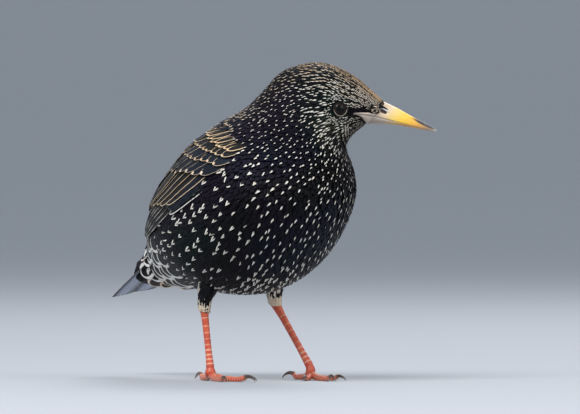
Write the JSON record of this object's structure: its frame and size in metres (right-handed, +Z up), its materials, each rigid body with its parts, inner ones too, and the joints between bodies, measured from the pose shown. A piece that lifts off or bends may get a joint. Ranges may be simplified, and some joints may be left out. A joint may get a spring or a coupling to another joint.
{
  "type": "starling",
  "caption": "Life-size common starling in spotted winter plumage, standing with its head turned to its left and its wings and tail closed.",
  "frame": {"origin": "on the floor, under the middle of the bird's box", "axes": "+X where the body faces, +Y to the bird's left, +Z up; the head and bill point to +X turned 55 degrees towards +Y"},
  "size_m": [0.139, 0.0888, 0.1271],
  "materials": {
    "plumage": "glossy black feathers with a green, blue and purple sheen and pale spots",
    "flight_feathers": "brownish black feathers with buff edges",
    "tail_feathers": "slate grey feathers with pale edges",
    "leg_feathers": "soft mottled feathers",
    "bill": "satin horn, yellow with a dark ridge",
    "bill_base": "satin horn, pale at the base",
    "leg_skin": "orange red scaled skin",
    "claw_horn": "dark brown horn",
    "eye": "wet dark brown"
  },
  "bodies": {
    "root": {"head": "plumage", "neck": "plumage", "torso": "plumage", "wing_left": "flight_feathers", "wing_right": "flight_feathers", "tail": "tail_feathers", "bill_upper": "bill", "bill_lower": "bill_base", "eye_left": "eye", "eye_right": "eye", "thigh_left": "leg_feathers", "thigh_right": "leg_feathers", "shank_left": "leg_skin", "shank_right": "leg_skin", "foot_left": "leg_skin", "foot_right": "leg_skin", "claw_left_outer": "claw_horn", "claw_left_middle": "claw_horn", "claw_left_inner": "claw_horn", "claw_left_hind": "claw_horn", "claw_right_outer": "claw_horn", "claw_right_middle": "claw_horn", "claw_right_inner": "claw_horn", "claw_right_hind": "claw_horn"}
  },
  "joints": []
}
